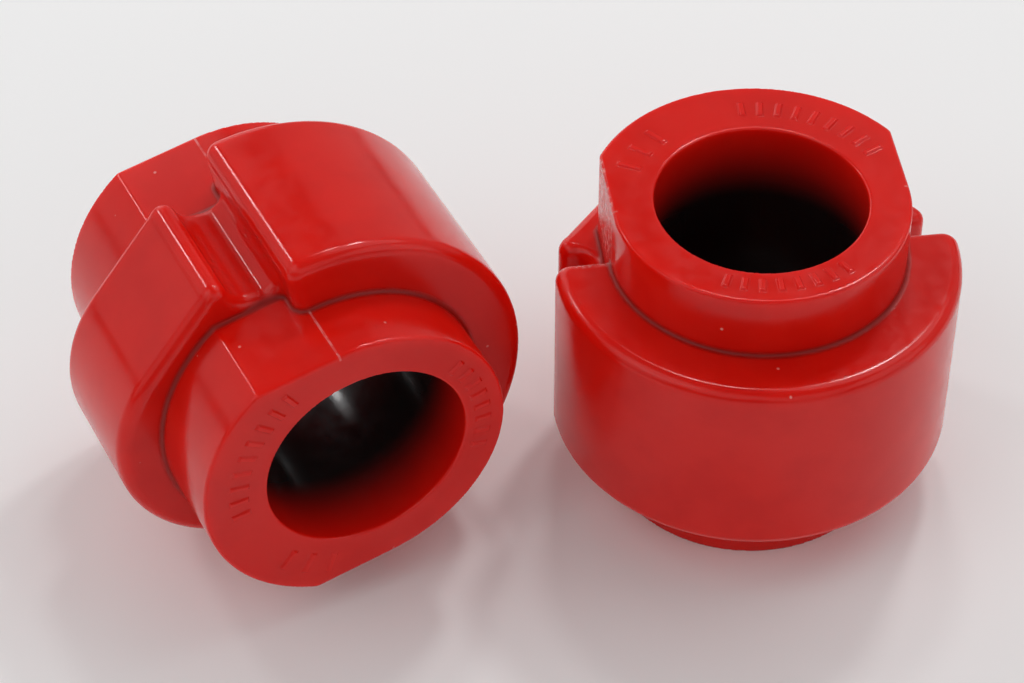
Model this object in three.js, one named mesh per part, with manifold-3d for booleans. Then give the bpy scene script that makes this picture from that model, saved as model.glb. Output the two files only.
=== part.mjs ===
// A pair of one-piece polyurethane bushes that carry a sway bar (anti-roll bar).
// One bush lies on its side with a groove uppermost, the other stands on its end.
// Millimetres, +Z up, origin at floor level under the middle of the pair.

import * as THREE from 'three';
import { mergeVertices } from 'three/addons/utils/BufferGeometryUtils.js';
import Module from 'manifold-3d';

// ---- Driving dimensions ----------------------------------------------------
// A bush's own frame has Z along the bore, X towards the middle of the big lobe,
// the marked end face on the +Z side and the origin halfway along the bore.

const BORE_RADIUS = 14.7; // takes the sway bar
const BORE_LIP = 0.3; // small chamfer at each mouth of the bore
const LENGTH = 49.3; // end face to end face

// Collars: the two ends, round with a pair of flats in line with the grooves.
const FLAT_OFFSET = 20.6; // from the bore's axis to each flat
const COLLAR_RADIUS_BIG_SIDE = FLAT_OFFSET; // the flats run into this arc
const COLLAR_RADIUS_SMALL_SIDE = 23.8;
const COLLAR_EDGE = 0.4;

// Big lobe: a little over half a disc.
const BIG_LOBE_LENGTH = 29.5;
const BIG_LOBE_RADIUS = 28.5;
const BIG_LOBE_WALL_X = -1.5; // groove wall
const BIG_LOBE_CORNER = 2.2; // rounding beside the grooves, larger than the edge's
const BIG_LOBE_EDGE = 1.8;

// Small lobe: set back at both ends, two flat facets that run into a rounded nose.
const SMALL_LOBE_LENGTH = 20.5;
const SMALL_LOBE_WALL_X = -8.7;
const FACET_TURN = THREE.MathUtils.degToRad(131); // direction the upper facet faces
const FACET_OFFSET = 27.2;
const NOSE_REACH = 30.3; // from the bore's axis to the tip of the nose
const SMALL_LOBE_CORNER = 1.7; // rounding beside the grooves, larger than the edge's
const SMALL_LOBE_EDGE = 1.5;

// Grooves between the lobes: two flanks that slope down to a line at the bottom.
const GROOVE_BOTTOM = { x: -4.1, y: 21.5 };
const FLANK_SMALL_SIDE = THREE.MathUtils.degToRad(16); // slope of each flank
const FLANK_BIG_SIDE = THREE.MathUtils.degToRad(29);
const FILLET_SMALL_SIDE = 2.4; // where each flank meets its lobe's wall
const FILLET_BIG_SIDE = 1.2;
const WEB_END_X = 3; // the web between the lobes ends here, inside the big one

// Raised marks on one end face: plain bars in three arcs.
const MARK_HEIGHT = 0.35;
const MARK_SINK = 0.3; // how far a mark reaches into the face it stands on
const MARK_WIDTH = 1.1;
const MARK_ARCS = [
  { from: 115, to: 178, count: 9, radius: 18.9, length: 3 },
  { from: -140, to: -118, count: 3, radius: 19.1, length: 3.6 },
  { from: -26, to: 30, count: 8, radius: 17.3, length: 2.6 },
];

// How the two bushes lie.
const LYING_TILT = THREE.MathUtils.degToRad(9.2); // roll about its own bore
const STANDING_TURN = THREE.MathUtils.degToRad(-109.4); // where its big lobe points
const LYING_FROM_STANDING = { x: -60.6, y: 23.4 };

// Fineness of the round stretches.
const ARC_STEPS = 36;
const CORNER_STEPS = 6;
const BORE_STEPS = 64;
const EDGE_STEPS = 3;

const MATERIAL = { color: 0xc8231c, roughness: 0.28, metalness: 0 };

// ---- Solids ----------------------------------------------------------------

const wasm = await Module();
wasm.setup();

/** A closed three.js geometry as a solid that can be joined and cut. */
function toSolid(geometry) {
  const bare = geometry.clone();
  bare.deleteAttribute('normal');
  bare.deleteAttribute('uv');
  const merged = mergeVertices(bare, 1e-4);
  return new wasm.Manifold(
    new wasm.Mesh({
      numProp: 3,
      vertProperties: merged.getAttribute('position').array,
      triVerts: new Uint32Array(merged.getIndex().array),
    }),
  );
}

function toGeometry(solid) {
  const mesh = solid.getMesh();
  const geometry = new THREE.BufferGeometry();
  geometry.setAttribute('position', new THREE.BufferAttribute(mesh.vertProperties, 3));
  geometry.setIndex(new THREE.BufferAttribute(mesh.triVerts, 1));
  geometry.computeVertexNormals();
  return geometry;
}

/** An outline drawn out along Z, centred, with its end edges rounded. */
function slab(outline, length, edge) {
  const geometry = new THREE.ExtrudeGeometry(outline, {
    depth: length - 2 * edge,
    bevelEnabled: true,
    bevelThickness: edge,
    bevelSize: edge,
    bevelOffset: -edge,
    bevelSegments: EDGE_STEPS,
  });
  geometry.translate(0, 0, edge - length / 2);
  return toSolid(geometry);
}

// ---- Outlines across the bore ----------------------------------------------

/** Points along an arc from one angle to another, clockwise if the second is smaller. */
function arc(x, y, radius, from, to, steps = CORNER_STEPS) {
  return new THREE.EllipseCurve(x, y, radius, radius, from, to, to < from).getPoints(steps);
}

function round(radius, from, to) {
  return arc(0, 0, radius, from, to, ARC_STEPS);
}

/** A closed outline from stretches in turn, without the points they share. */
function outlineOf(...stretches) {
  const points = stretches.flat();
  const single = points.filter(
    (point, index) => point.distanceTo(points[(index + 1) % points.length]) > 1e-3,
  );
  return new THREE.Shape(single);
}

function collarOutline() {
  const edge = Math.asin(FLAT_OFFSET / COLLAR_RADIUS_SMALL_SIDE);
  return outlineOf(
    round(COLLAR_RADIUS_BIG_SIDE, -Math.PI / 2, Math.PI / 2),
    round(COLLAR_RADIUS_SMALL_SIDE, Math.PI - edge, Math.PI + edge),
  );
}

function bigLobeOutline() {
  const x = BIG_LOBE_WALL_X + BIG_LOBE_CORNER;
  const y = Math.sqrt((BIG_LOBE_RADIUS - BIG_LOBE_CORNER) ** 2 - x ** 2);
  const end = Math.atan2(y, x);
  return outlineOf(
    round(BIG_LOBE_RADIUS, -end, end),
    arc(x, y, BIG_LOBE_CORNER, end, Math.PI),
    arc(x, -y, BIG_LOBE_CORNER, Math.PI, 2 * Math.PI - end),
  );
}

/** Half of a groove's bottom, from a lobe's wall down to the bottom line. */
function flank(wallX, slope, radius, side) {
  const away = Math.sign(wallX - GROOVE_BOTTOM.x);
  const rise = Math.abs(wallX - GROOVE_BOTTOM.x) * Math.tan(slope);
  const x = wallX - away * radius;
  const y = GROOVE_BOTTOM.y + rise + radius * Math.tan(Math.PI / 4 - slope / 2);
  const atWall = away > 0 ? 0 : -Math.PI;
  const atFlank = away * slope - Math.PI / 2;
  return [
    ...arc(x, side * y, radius, side * atWall, side * atFlank),
    new THREE.Vector2(GROOVE_BOTTOM.x, side * GROOVE_BOTTOM.y),
  ];
}

/** A groove's bottom from inside the big lobe to the small one, on either side of the bore. */
function hollow(side) {
  const bigSide = flank(BIG_LOBE_WALL_X, FLANK_BIG_SIDE, FILLET_BIG_SIDE, side);
  const smallSide = flank(SMALL_LOBE_WALL_X, FLANK_SMALL_SIDE, FILLET_SMALL_SIDE, side).reverse();
  return [new THREE.Vector2(WEB_END_X, bigSide[0].y), ...bigSide, ...smallSide];
}

/** The small lobe together with the web that joins it to the big one. */
function smallLobeOutline() {
  const full = 2 * Math.PI;
  const radius = SMALL_LOBE_CORNER;
  const noseX = (FACET_OFFSET - NOSE_REACH) / (1 + Math.cos(FACET_TURN));
  const noseRadius = NOSE_REACH + noseX;
  const x = SMALL_LOBE_WALL_X - radius;
  const y = (FACET_OFFSET - radius - x * Math.cos(FACET_TURN)) / Math.sin(FACET_TURN);
  return outlineOf(
    hollow(1),
    arc(x, y, radius, 0, FACET_TURN),
    arc(noseX, 0, noseRadius, FACET_TURN, full - FACET_TURN, ARC_STEPS),
    arc(x, -y, radius, full - FACET_TURN, full),
    hollow(-1).reverse(),
  );
}

// ---- The bush --------------------------------------------------------------

function boreCutter() {
  const past = LENGTH / 2 + 1;
  const mouth = BORE_RADIUS + BORE_LIP;
  const profile = [
    [0, -past],
    [mouth, -past],
    [mouth, -LENGTH / 2],
    [BORE_RADIUS, BORE_LIP - LENGTH / 2],
    [BORE_RADIUS, LENGTH / 2 - BORE_LIP],
    [mouth, LENGTH / 2],
    [mouth, past],
    [0, past],
  ];
  const points = profile.map(([radius, z]) => new THREE.Vector2(radius, z));
  const geometry = new THREE.LatheGeometry(points, BORE_STEPS);
  geometry.rotateX(Math.PI / 2);
  return toSolid(geometry);
}

/** One raised bar on the marked end face, pointing away from the bore. */
function mark(row, index) {
  const turn = THREE.MathUtils.degToRad(row.from + ((row.to - row.from) * index) / (row.count - 1));
  const geometry = new THREE.BoxGeometry(row.length, MARK_WIDTH, MARK_HEIGHT + MARK_SINK);
  geometry.translate(row.radius, 0, (LENGTH + MARK_HEIGHT - MARK_SINK) / 2);
  geometry.rotateZ(turn);
  return toSolid(geometry);
}

function bushGeometry() {
  let solid = slab(collarOutline(), LENGTH, COLLAR_EDGE)
    .add(slab(bigLobeOutline(), BIG_LOBE_LENGTH, BIG_LOBE_EDGE))
    .add(slab(smallLobeOutline(), SMALL_LOBE_LENGTH, SMALL_LOBE_EDGE));
  for (const row of MARK_ARCS) {
    for (let index = 0; index < row.count; index += 1) {
      solid = solid.add(mark(row, index));
    }
  }
  return toGeometry(solid.subtract(boreCutter()));
}

function bush(name, geometry) {
  const mesh = new THREE.Mesh(geometry, new THREE.MeshStandardMaterial(MATERIAL));
  mesh.name = name;
  return mesh;
}

/** Raises or lowers a placed piece until its lowest point is on the floor. */
function setOnFloor(piece) {
  piece.position.z -= new THREE.Box3().setFromObject(piece, true).min.z;
}

// ---- The pair --------------------------------------------------------------

const geometry = bushGeometry();

const standing = bush('standing_bush', geometry);
standing.rotation.z = STANDING_TURN;
setOnFloor(standing);

const lying = new THREE.Group();
const lyingBush = bush('lying_bush', geometry);
lyingBush.rotation.x = Math.PI / 2; // marked end face towards -Y
lying.add(lyingBush);
lying.rotation.y = -LYING_TILT;
lying.position.set(LYING_FROM_STANDING.x, LYING_FROM_STANDING.y, 0);
setOnFloor(lying);

const pair = new THREE.Group();
pair.add(standing, lying);
const middle = new THREE.Box3().setFromObject(pair, true).getCenter(new THREE.Vector3());
pair.position.set(-middle.x, -middle.y, 0);
pair.updateMatrixWorld(true);

export default pair;
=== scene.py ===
"""A pair of cast polyurethane sway bar bushes as they look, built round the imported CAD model."""

import math

import bmesh
import bpy
import numpy as np
from mathutils import Matrix, Vector


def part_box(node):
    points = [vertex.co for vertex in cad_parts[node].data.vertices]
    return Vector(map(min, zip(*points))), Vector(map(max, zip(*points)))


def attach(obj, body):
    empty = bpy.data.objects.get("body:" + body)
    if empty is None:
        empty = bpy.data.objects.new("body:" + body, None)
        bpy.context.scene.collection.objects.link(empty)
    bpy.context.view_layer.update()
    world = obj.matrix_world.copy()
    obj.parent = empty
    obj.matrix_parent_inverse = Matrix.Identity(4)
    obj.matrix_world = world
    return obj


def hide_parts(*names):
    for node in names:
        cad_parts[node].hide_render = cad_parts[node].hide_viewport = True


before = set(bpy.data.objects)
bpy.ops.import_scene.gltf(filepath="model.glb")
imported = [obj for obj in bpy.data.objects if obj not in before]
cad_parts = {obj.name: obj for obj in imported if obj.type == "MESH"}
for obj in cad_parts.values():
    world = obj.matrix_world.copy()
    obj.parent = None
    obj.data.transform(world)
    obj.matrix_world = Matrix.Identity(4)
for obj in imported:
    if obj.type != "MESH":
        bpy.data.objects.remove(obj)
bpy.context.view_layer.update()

MM = 0.001  # in metres

# ---- The bush, in millimetres ----------------------------------------------
# u runs from the bore's axis towards the middle of the big lobe, w along the bore
# towards the marked end face, and v across both. The shape is the same on both
# sides of v = 0 and of w = 0, so most of it is written for v and w above zero.

BORE = 14.7
BORE_LIP = 0.35  # rounding of its mouths
HALF_LENGTH = 24.63

FLAT = 20.6  # from the bore's axis to each flat of the collars
COLLAR_SMALL_SIDE = 23.8  # radius on the side of the small lobe; FLAT is the other side's
COLLAR_CORNER = 0.5  # where the flats run out on that side
COLLAR_EDGE = 0.4

BIG_RADIUS = 28.46
BIG_WALL = -1.5
BIG_HALF = 14.75  # half of its length
BIG_CORNER = 2.3  # beside the groove
BIG_EDGE = 1.8

SMALL_WALL = -8.7
SMALL_HALF = 10.2
SMALL_CORNER = 1.75
SMALL_EDGE = 1.8
FACET_TURN = math.radians(131)  # direction the facet faces
FACET = 27.2  # from the bore's axis
NOSE = 30.25  # from the bore's axis to the tip

GROOVE_BOTTOM = (-4.1, 21.5)  # u and v of the line where the two flanks meet
FLANK_SMALL_SIDE = math.radians(16)  # rise of each flank
FLANK_BIG_SIDE = math.radians(29)
FILLET_SMALL_SIDE = 2.4  # where each flank meets its lobe's wall
FILLET_BIG_SIDE = 1.2
GROOVE_ROOT = 0.3  # rounding of the bottom line
WEB_TO_SMALL_SIDE = 6  # how far the web runs from that line, well into each lobe
WEB_TO_BIG_SIDE = 4

MARK_HEIGHT = 0.35  # raised bars on the marked end face, in arcs
MARK_WIDTH = 1.1
MARK_SLOPE = 0.3  # width of a bar's sloping side
MARK_ARCS = [  # first and last bar's turn in degrees, number of bars, radius, length
    (115, 178, 9, 18.9, 3.0),
    (-140, -118, 3, 19.1, 3.6),
    (-26, 30, 8, 17.3, 2.6),
]

ROOT_FILLET = 0.4  # where the collars meet the lobes
CREASE_WIDTH = 1.2  # how far the painted shade reaches from there

MESH_STEP = 0.45
MESH_REACH = (31.5, 30.0, 25.8)  # of the grid along u, v and w, to both sides
SETTLE_ROUNDS = 3
LEAST_STEEPNESS = 0.2  # of the distance, squared, so that no point jumps far
RELAX_ROUNDS = 4
MARK_CUTS = 3  # extra points along each mesh edge beside a raised bar
MARK_SEARCH = 0.1  # how far below the marked end face a bar's points can be
NORMAL_STEP = 0.02


# ---- Distances -------------------------------------------------------------
# Each is below zero inside a shape. An outline is a shape as seen along the bore.


def corner(a, b, radius, cosine=0.0):
    """Distance to what is inside both a and b, whose edge is rounded to a radius.
    cosine is that of the angle between the two surfaces' normals at the edge."""
    a = a + radius
    b = b + radius
    past = (a > cosine * b) & (b > cosine * a)
    apex = np.sqrt(np.maximum(a * a - 2 * cosine * a * b + b * b, 0) / (1 - cosine**2))
    return np.where(past, apex, np.maximum(a, b)) - radius


def fillet(a, b, radius):
    """Distance to what is inside a or b, with the inner corner filled to a radius."""
    return -corner(-a, -b, radius)


def collar_outline(u, v):
    radial = np.hypot(u, v)
    meeting = FLAT / COLLAR_SMALL_SIDE
    small_side = corner(v - FLAT, radial - COLLAR_SMALL_SIDE, COLLAR_CORNER, meeting)
    return np.where(u > 0, radial - FLAT, small_side)


def big_lobe_outline(u, v):
    return corner(np.hypot(u, v) - BIG_RADIUS, BIG_WALL - u, BIG_CORNER)


def small_lobe_outline(u, v):
    cosine = math.cos(FACET_TURN)
    sine = math.sin(FACET_TURN)
    nose_centre = (FACET - NOSE) / (1 + cosine)
    facet = u * cosine + v * sine - FACET
    nose = np.hypot(u - nose_centre, v) - (NOSE + nose_centre)
    on_nose = np.arctan2(v, u - nose_centre) > FACET_TURN
    return corner(np.where(on_nose, nose, facet), u - SMALL_WALL, SMALL_CORNER, cosine)


def web_outline(u, v):
    """The web that joins the lobes and ends in the groove's two flanks."""
    u = u - GROOVE_BOTTOM[0]
    v = v - GROOVE_BOTTOM[1]
    small_side = u * math.sin(FLANK_SMALL_SIDE) + v * math.cos(FLANK_SMALL_SIDE)
    big_side = v * math.cos(FLANK_BIG_SIDE) - u * math.sin(FLANK_BIG_SIDE)
    past_ends = np.maximum(u - WEB_TO_BIG_SIDE, -WEB_TO_SMALL_SIDE - u)
    return np.maximum(fillet(small_side, big_side, GROOVE_ROOT), past_ends)


def smooth(x, low, high):
    """Eases from 0 to 1 as x goes from low to high."""
    t = np.clip((x - low) / (high - low), 0, 1)
    return t * t * (3 - 2 * t)


def mark_height(u, v, margin=0):
    """How far the raised bars stand out of the marked end face, each bar widened by a margin."""
    height = 0
    for first, last, count, radius, length in MARK_ARCS:
        pitch = math.radians(last - first) / (count - 1)
        past_first = (np.arctan2(v, u) - math.radians(first) + math.pi) % (2 * math.pi) - math.pi
        past_bar = past_first - pitch * np.clip(np.round(past_first / pitch), 0, count - 1)
        across = np.hypot(u, v) * np.abs(past_bar) - MARK_WIDTH / 2
        along = np.abs(np.hypot(u, v) - radius) - length / 2
        height = np.maximum(height, smooth(-np.maximum(across, along), -margin, MARK_SLOPE))
    return MARK_HEIGHT * height


def core_and_lobes(u, v, w):
    """Distances to the sleeve between the two ends, without its bore, and to what stands on it."""
    end = HALF_LENGTH + mark_height(u, v) * (w > 0)
    v = np.abs(v)
    w = np.abs(w)
    core = corner(collar_outline(u, v), w - end, COLLAR_EDGE)
    big = corner(big_lobe_outline(u, v), w - BIG_HALF, BIG_EDGE)
    joined = fillet(small_lobe_outline(u, v), web_outline(u, v), FILLET_SMALL_SIDE)
    small = corner(joined, w - SMALL_HALF, SMALL_EDGE)
    return core, fillet(big, small, FILLET_BIG_SIDE)


def bush_distance(u, v, w):
    """Signed distance to the bush's surface, below zero inside."""
    solid = fillet(*core_and_lobes(u, v, w), ROOT_FILLET)
    return corner(solid, BORE - np.hypot(u, v), BORE_LIP)


def crease(u, v, w):
    """Rises from 0 to 1 on the line where the collars meet the lobes, for the painted shade there.
    """
    core, lobes = core_and_lobes(u, v, w)
    return np.clip(1 - np.maximum(np.abs(core), np.abs(lobes)) / CREASE_WIDTH, 0, 1)


def slope(distance, points):
    """Gradient of a distance at each point."""
    columns = []
    for axis in range(3):
        step = np.zeros(3)
        step[axis] = NORMAL_STEP
        ahead = distance(*(points + step).T)
        behind = distance(*(points - step).T)
        columns.append((ahead - behind) / (2 * NORMAL_STEP))
    return np.stack(columns, axis=1)


# ---- Meshing ---------------------------------------------------------------


def onto_surface(distance, points):
    """Moves each point along the gradient until it is on the surface."""
    for _ in range(SETTLE_ROUNDS):
        gradient = slope(distance, points)
        steep = np.maximum((gradient**2).sum(1), LEAST_STEEPNESS)
        points = points - gradient * (distance(*points.T) / steep)[:, None]
    return points


def surface_nets(distance, low, high, step):
    """One vertex in each grid cell that the surface crosses, and the quads between them."""
    axes = [np.arange(a, b + step, step) for a, b in zip(low, high)]
    inside = distance(*np.meshgrid(*axes, indexing="ij", sparse=True)) < 0
    cells = [n - 1 for n in inside.shape]
    count = np.zeros(cells, np.int8)
    for x, y, z in np.ndindex(2, 2, 2):
        count += inside[x : x + cells[0], y : y + cells[1], z : z + cells[2]]
    crossed = (count > 0) & (count < 8)
    number = np.full(cells, -1)
    number[crossed] = np.arange(crossed.sum())
    points = np.array(low) + (np.argwhere(crossed) + 0.5) * step
    quads = []
    for axis in range(3):
        second = np.eye(3, dtype=int)[(axis + 1) % 3]
        third = np.eye(3, dtype=int)[(axis + 2) % 3]
        change = np.diff(inside, axis=axis)
        at = np.argwhere(change)
        ring = [at - second - third, at - third, at, at - second]
        quad = np.stack([number[tuple(cell.T)] for cell in ring], axis=1)
        outward = inside[tuple(at.T)]
        quads.append(np.where(outward[:, None], quad, quad[:, ::-1]))
    return points, np.concatenate(quads)


def relax(points, quads):
    """Moves each vertex half of the way to the middle of its neighbours."""
    total = np.zeros_like(points)
    count = np.zeros(len(points))
    for side in range(4):
        here = quads[:, side]
        for there in (quads[:, (side + 1) % 4], quads[:, (side + 3) % 4]):
            np.add.at(total, here, points[there])
            np.add.at(count, here, 1)
    return 0.5 * points + 0.5 * total / count[:, None]


def refine_marks(mesh):
    """Splits the faces round the raised bars, which are finer than the rest."""
    fine = bmesh.new()
    fine.from_mesh(mesh)
    marked = set()
    for vertex in fine.verts:
        u, v, w = vertex.co
        if w > HALF_LENGTH - MARK_SEARCH and mark_height(u, v, 2 * MESH_STEP) > 0:
            marked.add(vertex)
    edges = [edge for edge in fine.edges if marked.issuperset(edge.verts)]
    bmesh.ops.subdivide_edges(fine, edges=edges, cuts=MARK_CUTS, use_grid_fill=True)
    fine.to_mesh(mesh)
    fine.free()


def coordinates(mesh):
    """The places of a mesh's vertices, one row each."""
    flat = np.empty(len(mesh.vertices) * 3)
    mesh.vertices.foreach_get("co", flat)
    return flat.reshape(-1, 3)


def bush_mesh():
    """The bush in metres. Each vertex keeps its place in millimetres for the material."""
    reach = np.array(MESH_REACH)
    points, quads = surface_nets(bush_distance, -reach, reach, MESH_STEP)
    points = onto_surface(bush_distance, points)
    for _ in range(RELAX_ROUNDS):
        points = onto_surface(bush_distance, relax(points, quads))
    mesh = bpy.data.meshes.new("bush")
    mesh.from_pydata(points.tolist(), [], quads.tolist())
    refine_marks(mesh)
    points = onto_surface(bush_distance, coordinates(mesh))
    normals = slope(bush_distance, points)
    normals /= np.linalg.norm(normals, axis=1)[:, None]
    mesh.vertices.foreach_set("co", (points * MM).ravel())
    mesh.shade_smooth()
    mesh.normals_split_custom_set_from_vertices(normals.tolist())
    place = mesh.attributes.new("on_bush", "FLOAT_VECTOR", "POINT")
    place.data.foreach_set("vector", points.ravel())
    # The crease mask, for the painted shade and the duller gloss along the creases.
    crease_shade = mesh.attributes.new("in_crease", "FLOAT", "POINT")
    crease_shade.data.foreach_set("value", crease(*points.T))
    return mesh


# ---- Material --------------------------------------------------------------

# Lengths are in millimetres, as on the bush. A range is where a noise or a mask, which
# goes from 0 to 1, starts and ends changing the look.

RED_DEEP = (0.64, 0.007, 0.003, 1)
RED_LIGHT = (0.69, 0.009, 0.004, 1)
CLOUD_SIZE = 9.0
CLOUD_RANGE = (0.35, 0.65)
CHALKY_RED = (0.75, 0.35, 0.33, 1)
SPECK = (0.8, 0.25, 0.22, 1)
# Painted shade: the bore's walls darken with depth, standing in for light that does not reach far
# in.
BORE_SHADE = (0.012, 0.006, 0.006, 1)
BORE_SHADE_FROM = 0.5  # depths into the bore
BORE_SHADE_TO = 12.5
# Painted shade along the creases where the collars meet the lobes.
CREASE_SHADE = (0.16, 0.004, 0.003, 1)
CREASE_SHADE_COVER = 0.65
CREASE_RANGE = (0.2, 0.9)
BORE_WALL = (0.1, 0.3)  # what is this close to the bore counts as inside it, fading out

ROUGHNESS = 0.17
ROUGHNESS_SPREAD = 0.05
GLOSS_PATCH_SIZE = 2.5
GLOSS_RANGE = (0.3, 0.7)
SCAR_DULLNESS = 0.3  # added to the roughness
CREASE_DULLNESS = 0.5

SWELL_SIZE = 5.0
SWELL_HEIGHT = 0.01
GRAIN_SIZE = 0.5
GRAIN_HEIGHT = 0.006
SCAR_HEIGHT = 0.12
SEAM_HEIGHT = 0.1
SPECK_HEIGHT = 0.08

IOR = 1.37
SCATTERING = 0.8
SCATTER_COLOURS = (1, 0.08, 0.05)  # how far red, green and blue go, as parts of the distance
SCATTER_DISTANCE = 0.003  # in metres

SCAR_U = (-10.5, -1)  # where the gate scar lies along u
SCAR_EASE = 1.5  # it eases out past both ends
SCAR_W = (12, 14)  # it fades in over these and runs on to the marked end face
SCAR_FADE = (0.15, 0.4)  # depths under its flat between which it fades out
SCAR_GRAIN_SIZE = 0.9
SCAR_RANGE = (0.45, 0.7)

SEAM_HALF_WIDTH = 0.1
SEAM_FADE = (0.5, 0.8)  # depths under each flat between which it fades out
SEAM_START = 0.5  # it fades in over this length beside the big lobe
SEAM_GRAIN_SIZE = 2.0
SEAM_RANGE = (0.3, 0.6)
SEAM_COVER = (0.05, 0.5)  # where it is faint and where it is plain

SPECK_SPACING = 5.0
SPECK_RADII = (0.03, 0.055)  # where a speck starts and ends fading, as parts of the spacing
SPECK_SHARE = 0.5  # of the cells, those that have one


class Nodes:
    """Short ways to add and join shader nodes."""

    def __init__(self, material):
        self.tree = material.node_tree

    def add(self, kind, *inputs, **settings):
        """A new node's first output. Inputs left out or None keep their defaults."""
        node = self.tree.nodes.new("ShaderNode" + kind)
        for name, value in settings.items():
            setattr(node, name, value)
        for socket, value in zip(node.inputs, inputs):
            self.put(value, socket)
        return node.outputs[0]

    def put(self, value, socket):
        """Links an output to a socket, or sets the socket to a plain value."""
        if isinstance(value, bpy.types.NodeSocket):
            self.tree.links.new(value, socket)
        elif value is not None:
            socket.default_value = value

    def math(self, operation, *inputs):
        return self.add("Math", *inputs, operation=operation)

    def ramp(self, value, low, high, to_low=0.0, to_high=1.0):
        """Eases from one value to another as the first goes from low to high."""
        return self.add(
            "MapRange", value, low, high, to_low, to_high, interpolation_type="SMOOTHSTEP"
        )

    def noise(self, place, size, detail=2.0):
        """Cloudy noise from 0 to 1 whose blobs are about size across."""
        return self.add("TexNoise", place, None, 1 / size, detail)

    def product(self, *values):
        result = values[0]
        for value in values[1:]:
            result = self.math("MULTIPLY", result, value)
        return result

    def between(self, value, low, high, ease):
        """1 from low to high, easing to 0 outside them."""
        rises = self.ramp(value, low - ease, low)
        return self.product(rises, self.ramp(value, high, high + ease, 1, 0))

    def attribute(self, name, output):
        """What the mesh keeps for each vertex under a name."""
        node = self.tree.nodes.new("ShaderNodeAttribute")
        node.attribute_name = name
        return node.outputs[output]

    def axes(self, place):
        """A vector's three parts."""
        node = self.tree.nodes.new("ShaderNodeSeparateXYZ")
        self.put(place, node.inputs[0])
        return node.outputs

    def blend(self, amount, first, second):
        """One colour that turns into another as the amount goes from 0 to 1."""
        node = self.tree.nodes.new("ShaderNodeMix")
        node.data_type = "RGBA"
        self.put(amount, node.inputs["Factor"])
        self.put(first, node.inputs["A"])
        self.put(second, node.inputs["B"])
        return node.outputs["Result"]


def gate_scar(nodes, place, u, v, w):
    """Chalky, torn patch on one flat where the casting was cut from its gate."""
    patch = nodes.product(
        nodes.between(u, *SCAR_U, SCAR_EASE),
        nodes.ramp(v, SCAR_FADE[0] - FLAT, SCAR_FADE[1] - FLAT, 1, 0),
        nodes.ramp(w, *SCAR_W),
    )
    torn = nodes.ramp(nodes.noise(place, SCAR_GRAIN_SIZE, detail=4.0), *SCAR_RANGE)
    return nodes.product(patch, torn)


def parting_line(nodes, place, u, v, w):
    """Thin flash line along both flats where the mould's halves met."""
    line = nodes.product(
        nodes.between(u, -SEAM_HALF_WIDTH, SEAM_HALF_WIDTH, SEAM_HALF_WIDTH),
        nodes.ramp(nodes.math("ABSOLUTE", v), FLAT - SEAM_FADE[1], FLAT - SEAM_FADE[0]),
        nodes.ramp(nodes.math("ABSOLUTE", w), BIG_HALF, BIG_HALF + SEAM_START),
    )
    cover = nodes.ramp(nodes.noise(place, SEAM_GRAIN_SIZE), *SEAM_RANGE, *SEAM_COVER)
    return nodes.product(line, cover)


def pinholes(nodes, place):
    """A few specks, each where a small bubble reached the mould."""
    cells = nodes.tree.nodes.new("ShaderNodeTexVoronoi")
    cells.inputs["Scale"].default_value = 1 / SPECK_SPACING
    nodes.put(place, cells.inputs["Vector"])
    near = nodes.ramp(cells.outputs["Distance"], *SPECK_RADII, 1, 0)
    split = nodes.tree.nodes.new("ShaderNodeSeparateColor")
    nodes.put(cells.outputs["Color"], split.inputs[0])
    return nodes.product(near, nodes.math("GREATER_THAN", split.outputs[0], 1 - SPECK_SHARE))


def mottled_red(nodes, place, bore_shade, crease_shade, chalk, specks):
    """The cast red, with painted shade in the bore and in the creases, then the chalky marks and
    specks, each laid over the last.
    """
    clouds = nodes.ramp(nodes.noise(place, CLOUD_SIZE, detail=3.0), *CLOUD_RANGE)
    red = nodes.blend(clouds, RED_DEEP, RED_LIGHT)
    # Painted shade deep in the bore.
    red = nodes.blend(bore_shade, red, BORE_SHADE)
    # Painted shade along the creases.
    red = nodes.blend(crease_shade, red, CREASE_SHADE)
    red = nodes.blend(chalk, red, CHALKY_RED)
    return nodes.blend(specks, red, SPECK)


def uneven_gloss(nodes, place, scar, crease_shade):
    """Roughness in soft patches, higher on the scar and in the creases."""
    smoothest = ROUGHNESS - ROUGHNESS_SPREAD
    roughest = ROUGHNESS + ROUGHNESS_SPREAD
    patches = nodes.noise(place, GLOSS_PATCH_SIZE, detail=4.0)
    gloss = nodes.ramp(patches, *GLOSS_RANGE, smoothest, roughest)
    scar_dullness = nodes.math("MULTIPLY", scar, SCAR_DULLNESS)
    crease_dullness = nodes.math("MULTIPLY", crease_shade, CREASE_DULLNESS)
    return nodes.math("ADD", gloss, nodes.math("MAXIMUM", scar_dullness, crease_dullness))


def relief(nodes, place, scar, seam, specks):
    """A bump for what is too fine for the mesh."""
    swells = nodes.math("MULTIPLY", nodes.noise(place, SWELL_SIZE, detail=1.0), SWELL_HEIGHT)
    grain = nodes.math("MULTIPLY", nodes.noise(place, GRAIN_SIZE, detail=3.0), GRAIN_HEIGHT)
    height = nodes.math("ADD", swells, grain)
    for mask, rise in ((scar, SCAR_HEIGHT), (seam, SEAM_HEIGHT), (specks, SPECK_HEIGHT)):
        height = nodes.math("ADD", height, nodes.math("MULTIPLY", mask, rise))
    bump = nodes.tree.nodes.new("ShaderNodeBump")
    bump.inputs["Strength"].default_value = 1.0
    bump.inputs["Distance"].default_value = MM
    nodes.put(height, bump.inputs["Height"])
    return bump.outputs[0]


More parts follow.
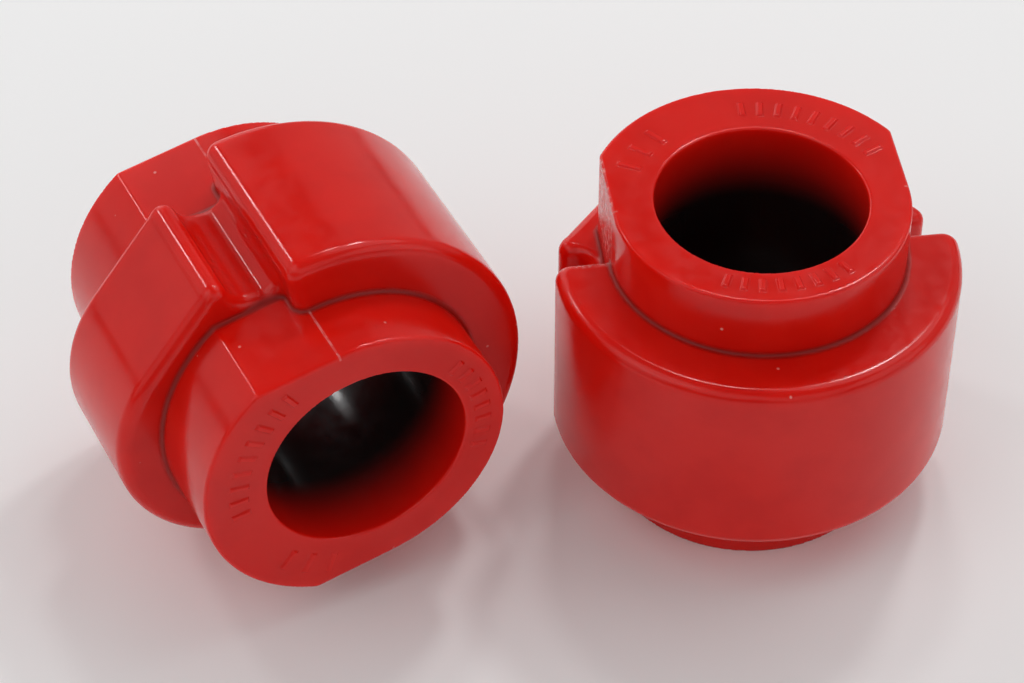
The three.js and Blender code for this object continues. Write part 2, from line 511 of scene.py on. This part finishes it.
def polyurethane():
    """Glossy cast polyurethane, with the same traces of its casting and the same painted shade in
    the bore and creases on each bush.
    """
    material = bpy.data.materials.new("red_polyurethane")
    material.use_nodes = True
    nodes = Nodes(material)

    place = nodes.attribute("on_bush", "Vector")
    u, v, w = nodes.axes(place)
    radial = nodes.math("SQRT", nodes.math("ADD", nodes.product(u, u), nodes.product(v, v)))
    depth = nodes.math("SUBTRACT", HALF_LENGTH, nodes.math("ABSOLUTE", w))
    in_bore = nodes.ramp(radial, BORE + BORE_WALL[0], BORE + BORE_WALL[1], 1, 0)

    # Painted shade, deepening into the bore.
    bore_shade = nodes.product(in_bore, nodes.ramp(depth, BORE_SHADE_FROM, BORE_SHADE_TO))
    # Painted shade along the creases; the same mask also dulls the gloss there.
    crease_shade = nodes.ramp(nodes.attribute("in_crease", "Fac"), *CREASE_RANGE, 0, CREASE_SHADE_COVER)
    scar = gate_scar(nodes, place, u, v, w)
    seam = parting_line(nodes, place, u, v, w)
    chalk = nodes.math("MAXIMUM", scar, seam)
    specks = nodes.product(pinholes(nodes, place), nodes.math("SUBTRACT", 1, in_bore))

    shader = material.node_tree.nodes["Principled BSDF"]
    nodes.put(mottled_red(nodes, place, bore_shade, crease_shade, chalk, specks), shader.inputs["Base Color"])
    nodes.put(uneven_gloss(nodes, place, scar, crease_shade), shader.inputs["Roughness"])
    nodes.put(relief(nodes, place, scar, seam, specks), shader.inputs["Normal"])
    shader.inputs["IOR"].default_value = IOR
    shader.inputs["Subsurface Weight"].default_value = SCATTERING
    shader.inputs["Subsurface Radius"].default_value = SCATTER_COLOURS
    shader.inputs["Subsurface Scale"].default_value = SCATTER_DISTANCE
    return material


# ---- Placing ---------------------------------------------------------------

STANDING_TURN = math.radians(-109.4)
LYING_TILT = math.radians(9.2)


def placed(mesh, name, node, turn):
    """A bush turned as its CAD node is and centred in that node's box, and where its origin went."""
    mesh = mesh.copy()
    mesh.transform(turn)
    points = coordinates(mesh)
    low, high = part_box(node)
    middle = (low + high) / 2 - Vector((points.min(0) + points.max(0)) / 2)
    mesh.transform(Matrix.Translation(middle))
    piece = bpy.data.objects.new(name, mesh)
    bpy.context.scene.collection.objects.link(piece)
    return piece, middle


bush = bush_mesh()
bush.materials.append(polyurethane())
standing_turn = Matrix.Rotation(STANDING_TURN, 4, "Z")
lying_turn = Matrix.Rotation(-LYING_TILT, 4, "Y") @ Matrix.Rotation(math.pi / 2, 4, "X")
standing, standing_middle = placed(bush, "standing_casting", "standing_bush", standing_turn)
lying, _ = placed(bush, "lying_casting", "lying_bush", lying_turn)
for piece, body, node in ((standing, "standing", "standing_bush"), (lying, "lying", "lying_bush")):
    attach(piece, body)
    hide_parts(node)


# ---- Floor, light and camera -----------------------------------------------
# Lengths are in metres.

CAMERA_FROM_STANDING_FOOT = Vector((-0.17432, -0.26999, 0.33456))
CAMERA_TURN = [math.radians(a) for a in (45.639, 0.052, -26.804)]
LENS = 110.09  # this and the sensor's width are in millimetres
SENSOR_WIDTH = 36

FLOOR_SIZE = 6
FLOOR_GREY = (0.9, 0.9, 0.9, 1)
FLOOR_ROUGHNESS = 0.7

WORLD_WHITE = (1, 1, 1, 1)
WORLD_STRENGTH = 0.17
LIGHT_DISTANCE = 0.8
SOFT_LIGHTS = [  # turn, rise, size in metres, watts
    (0, 58, 0.6, 1.0),
    (180, 50, 0.6, 0.9),
    (36, 55, 0.1, 0.85),
    (58, 60, 0.1, 0.5),
    (119, 40, 0.1, 0.5),
    (0, 25, 0.6, 0.25),
    (45, 25, 0.6, 0.25),
    (90, 25, 0.6, 1.05),
    (135, 25, 0.6, 0.45),
    (180, 25, 0.6, 0.45),
    (225, 40, 0.6, 0.55),
    (270, 25, 0.6, 0.5),
    (315, 25, 0.6, 0.8),
]


def floor_plane():
    bpy.ops.mesh.primitive_plane_add(size=FLOOR_SIZE)
    plane = bpy.context.object
    plane.name = "floor"
    material = bpy.data.materials.new("floor")
    material.use_nodes = True
    shader = material.node_tree.nodes["Principled BSDF"]
    shader.inputs["Base Color"].default_value = FLOOR_GREY
    shader.inputs["Roughness"].default_value = FLOOR_ROUGHNESS
    plane.data.materials.append(material)


def soft_light(turn, rise, size, power):
    """A round soft light that looks at the origin; turn and rise in degrees, from +X and up."""
    data = bpy.data.lights.new("soft_light", "AREA")
    data.shape = "DISK"
    data.size = size
    data.energy = power
    light = bpy.data.objects.new("soft_light", data)
    turn = math.radians(turn)
    rise = math.radians(rise)
    level = Vector((math.cos(turn), math.sin(turn), 0))
    light.location = LIGHT_DISTANCE * (level * math.cos(rise) + Vector((0, 0, math.sin(rise))))
    light.rotation_euler = (-light.location).to_track_quat("-Z", "Y").to_euler()
    bpy.context.scene.collection.objects.link(light)


def camera(standing_foot):
    """Looks down at the pair from the front left."""
    data = bpy.data.cameras.new("camera")
    data.lens = LENS
    data.sensor_width = SENSOR_WIDTH
    view = bpy.data.objects.new("camera", data)
    bpy.context.scene.collection.objects.link(view)
    view.location = standing_foot + CAMERA_FROM_STANDING_FOOT
    view.rotation_euler = CAMERA_TURN
    bpy.context.scene.camera = view


def studio_world():
    world = bpy.data.worlds.new("studio")
    bpy.context.scene.world = world
    world.use_nodes = True
    background = world.node_tree.nodes["Background"]
    background.inputs["Color"].default_value = WORLD_WHITE
    background.inputs["Strength"].default_value = WORLD_STRENGTH


floor_plane()
for soft in SOFT_LIGHTS:
    soft_light(*soft)
camera(Vector((standing_middle.x, standing_middle.y, 0)))
studio_world()
bpy.context.scene.view_settings.view_transform = "Standard"
